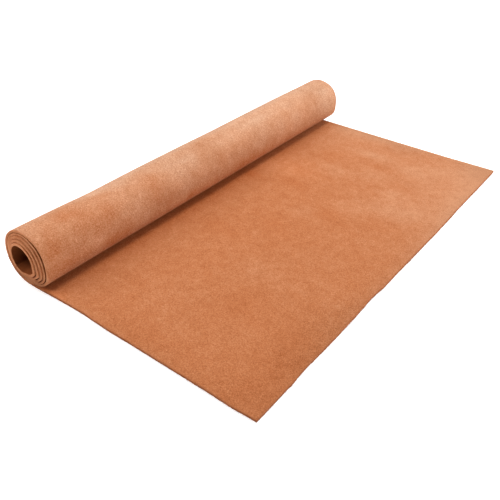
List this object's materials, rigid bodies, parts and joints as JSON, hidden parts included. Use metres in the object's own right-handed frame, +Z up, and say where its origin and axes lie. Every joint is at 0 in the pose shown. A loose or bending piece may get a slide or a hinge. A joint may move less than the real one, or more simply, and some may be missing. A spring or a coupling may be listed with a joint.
{
  "type": "partly rolled leather sheet",
  "caption": "Rectangular tan suede leather sheet, most of it wound into a roll along one side and the free end lying flat.",
  "frame": {"origin": "centre of the bounding box at floor level, under the flat near the roll", "axes": "+Z up, +Y along the roll's axis (the longest extent), +X from the roll towards the free edge"},
  "size_m": [0.1816, 0.3088, 0.0365],
  "materials": {
    "leather": "matt napped suede in warm tan, with soft mottling and a slightly darker cut edge"
  },
  "bodies": {
    "root": {"hide": "leather"}
  },
  "joints": []
}
